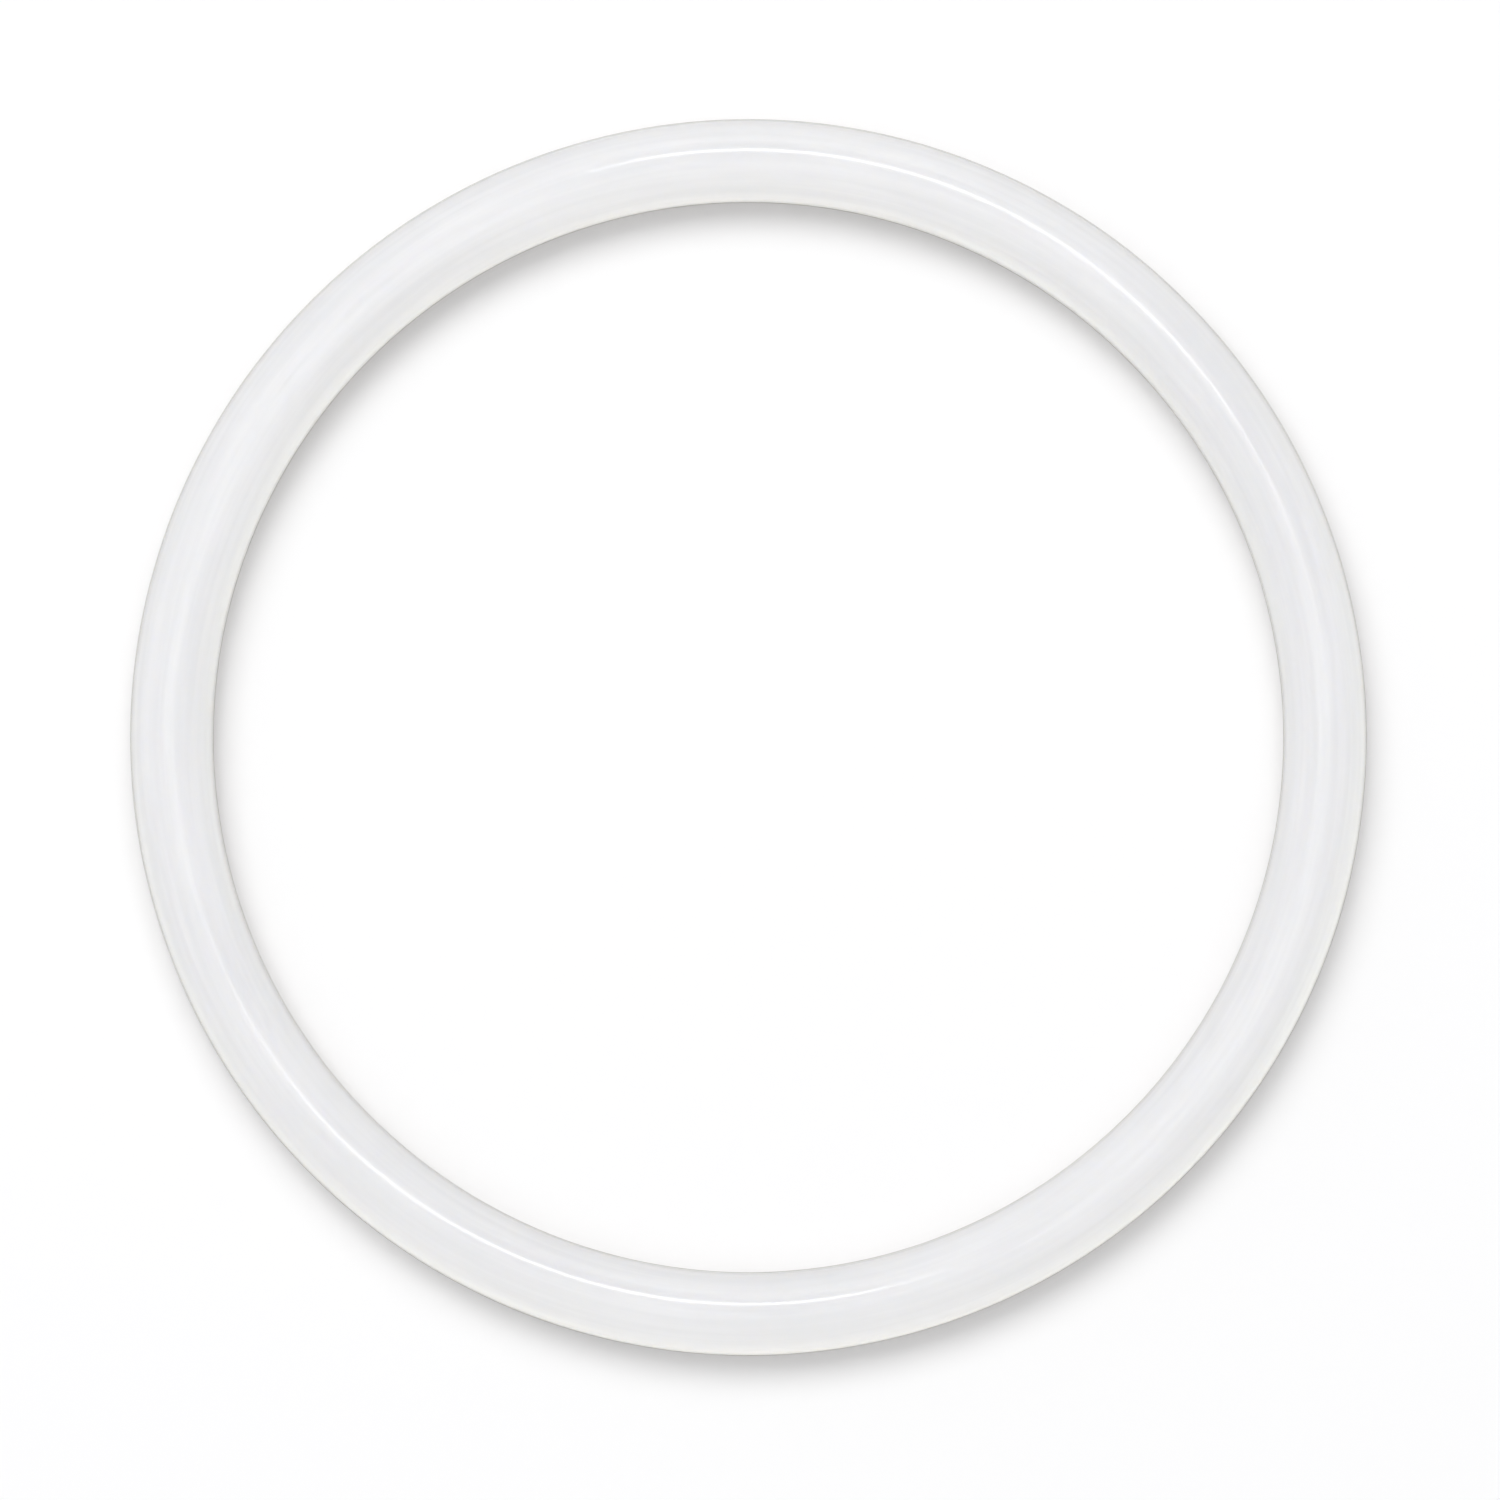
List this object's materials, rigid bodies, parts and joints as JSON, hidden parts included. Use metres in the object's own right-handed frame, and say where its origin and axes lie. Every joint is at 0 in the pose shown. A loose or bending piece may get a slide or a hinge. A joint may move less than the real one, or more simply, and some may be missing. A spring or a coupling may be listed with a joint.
{
  "type": "o-ring",
  "caption": "Round-section moulded silicone ring that seals the gap between a shaft or plug and the housing around it.",
  "frame": {"origin": "centre of the ring, halfway up its round section", "axes": "+Z along the axis that the ring is round about, X and Y in the plane it lies in"},
  "size_m": [0.08, 0.08, 0.0054],
  "materials": {
    "silicone": "smooth glossy translucent white silicone, faintly cloudy inside"
  },
  "bodies": {
    "root": {"o_ring": "silicone"}
  },
  "joints": []
}
